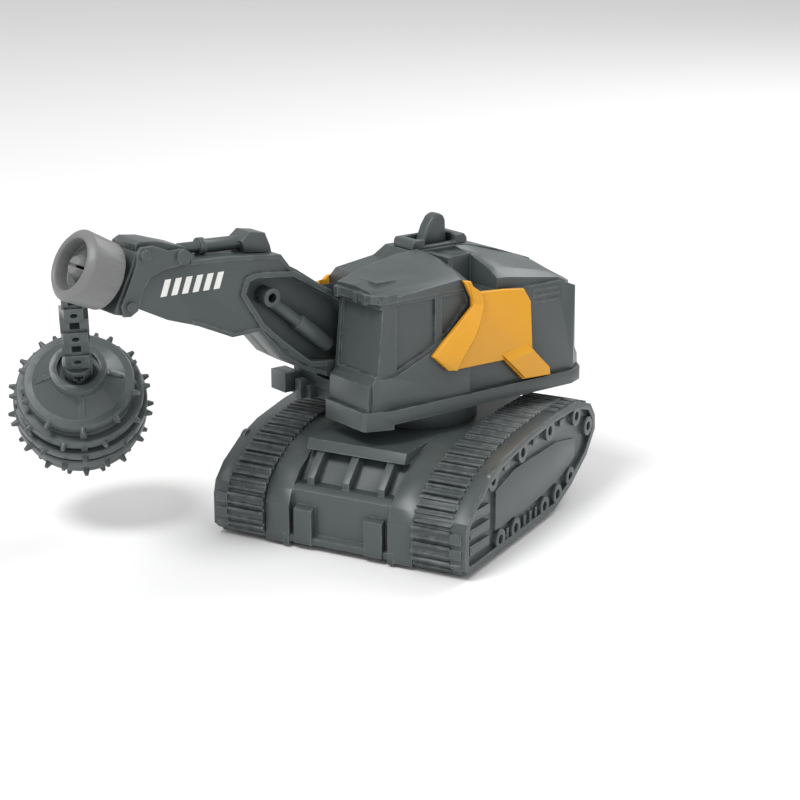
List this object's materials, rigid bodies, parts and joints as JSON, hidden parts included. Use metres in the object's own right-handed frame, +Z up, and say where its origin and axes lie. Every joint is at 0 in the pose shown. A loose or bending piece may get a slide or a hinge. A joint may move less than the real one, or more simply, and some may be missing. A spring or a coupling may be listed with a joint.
{
  "type": "toy excavator with wrecking ball",
  "caption": "Small plastic toy tracked demolition machine: a swivelling cab house, an arched fixed boom and a studded wrecking ball that swings round the boom tip on a moulded chain.",
  "frame": {"origin": "on the house's vertical swivel axis, at the level of the ground", "axes": "+Z up along the swivel axis; the chassis front faces -Y; the machine's own left (cab) side is +X"},
  "size_m": [0.0683, 0.0759, 0.0474],
  "materials": {
    "grey_plastic": "satin moulded, dark bluish grey",
    "track_plastic": "satin moulded, dark bluish grey",
    "light_plastic": "satin moulded, mid grey",
    "yellow_plastic": "satin moulded, warm yellow",
    "black_plastic": "satin moulded, black",
    "screw_steel": "zinc-plated"
  },
  "bodies": {
    "chassis": {"chassis_shell": "grey_plastic", "base_plate": "grey_plastic", "base_screws": "screw_steel", "turntable_collar": "grey_plastic", "track_left": "track_plastic", "track_cover_left": "grey_plastic", "track_right": "track_plastic", "track_cover_right": "grey_plastic"},
    "front_wheels": {"front_axle": "screw_steel", "front_wheel_left": "black_plastic", "front_wheel_right": "black_plastic"},
    "rear_wheels": {"rear_axle": "screw_steel", "rear_wheel_left": "black_plastic", "rear_wheel_right": "black_plastic"},
    "house": {"deck_plate": "grey_plastic", "swivel_post": "grey_plastic", "swivel_washer": "screw_steel", "swivel_screw": "screw_steel", "house_shell": "grey_plastic", "cab_shell": "grey_plastic", "yellow_panel_left": "yellow_plastic", "yellow_panel_right": "yellow_plastic", "exhaust_stack": "grey_plastic", "roof_guard": "grey_plastic", "boom_half_left": "grey_plastic", "boom_half_right": "grey_plastic", "elbow_pin_caps": "grey_plastic", "lift_cylinders": "grey_plastic", "stick_cylinder": "grey_plastic", "tip_cover": "grey_plastic", "tip_bracket": "grey_plastic", "split_pin": "grey_plastic", "boom_screws": "screw_steel", "house_screws": "screw_steel"},
    "wrecking_ball": {"swing_drum": "light_plastic", "chain_bar": "grey_plastic", "wrecking_ball": "grey_plastic"}
  },
  "joints": [
    {"name": "house_swivel", "type": "hinge", "parent": "chassis", "child": "house", "pos_m": [0, 0, 0.0174], "axis": [0, 0, 1], "continuous": true},
    {"name": "ball_swing", "type": "hinge", "parent": "house", "child": "wrecking_ball", "pos_m": [-0.02483, -0.04782, 0.0434], "axis": [-0.3691, -0.8195, 0.4384], "continuous": true},
    {"name": "front_axle_roll", "type": "hinge", "parent": "chassis", "child": "front_wheels", "pos_m": [0, -0.0155, 0.0036], "axis": [1, 0, 0], "continuous": true},
    {"name": "rear_axle_roll", "type": "hinge", "parent": "chassis", "child": "rear_wheels", "pos_m": [0, 0.0095, 0.0036], "axis": [1, 0, 0], "continuous": true}
  ]
}
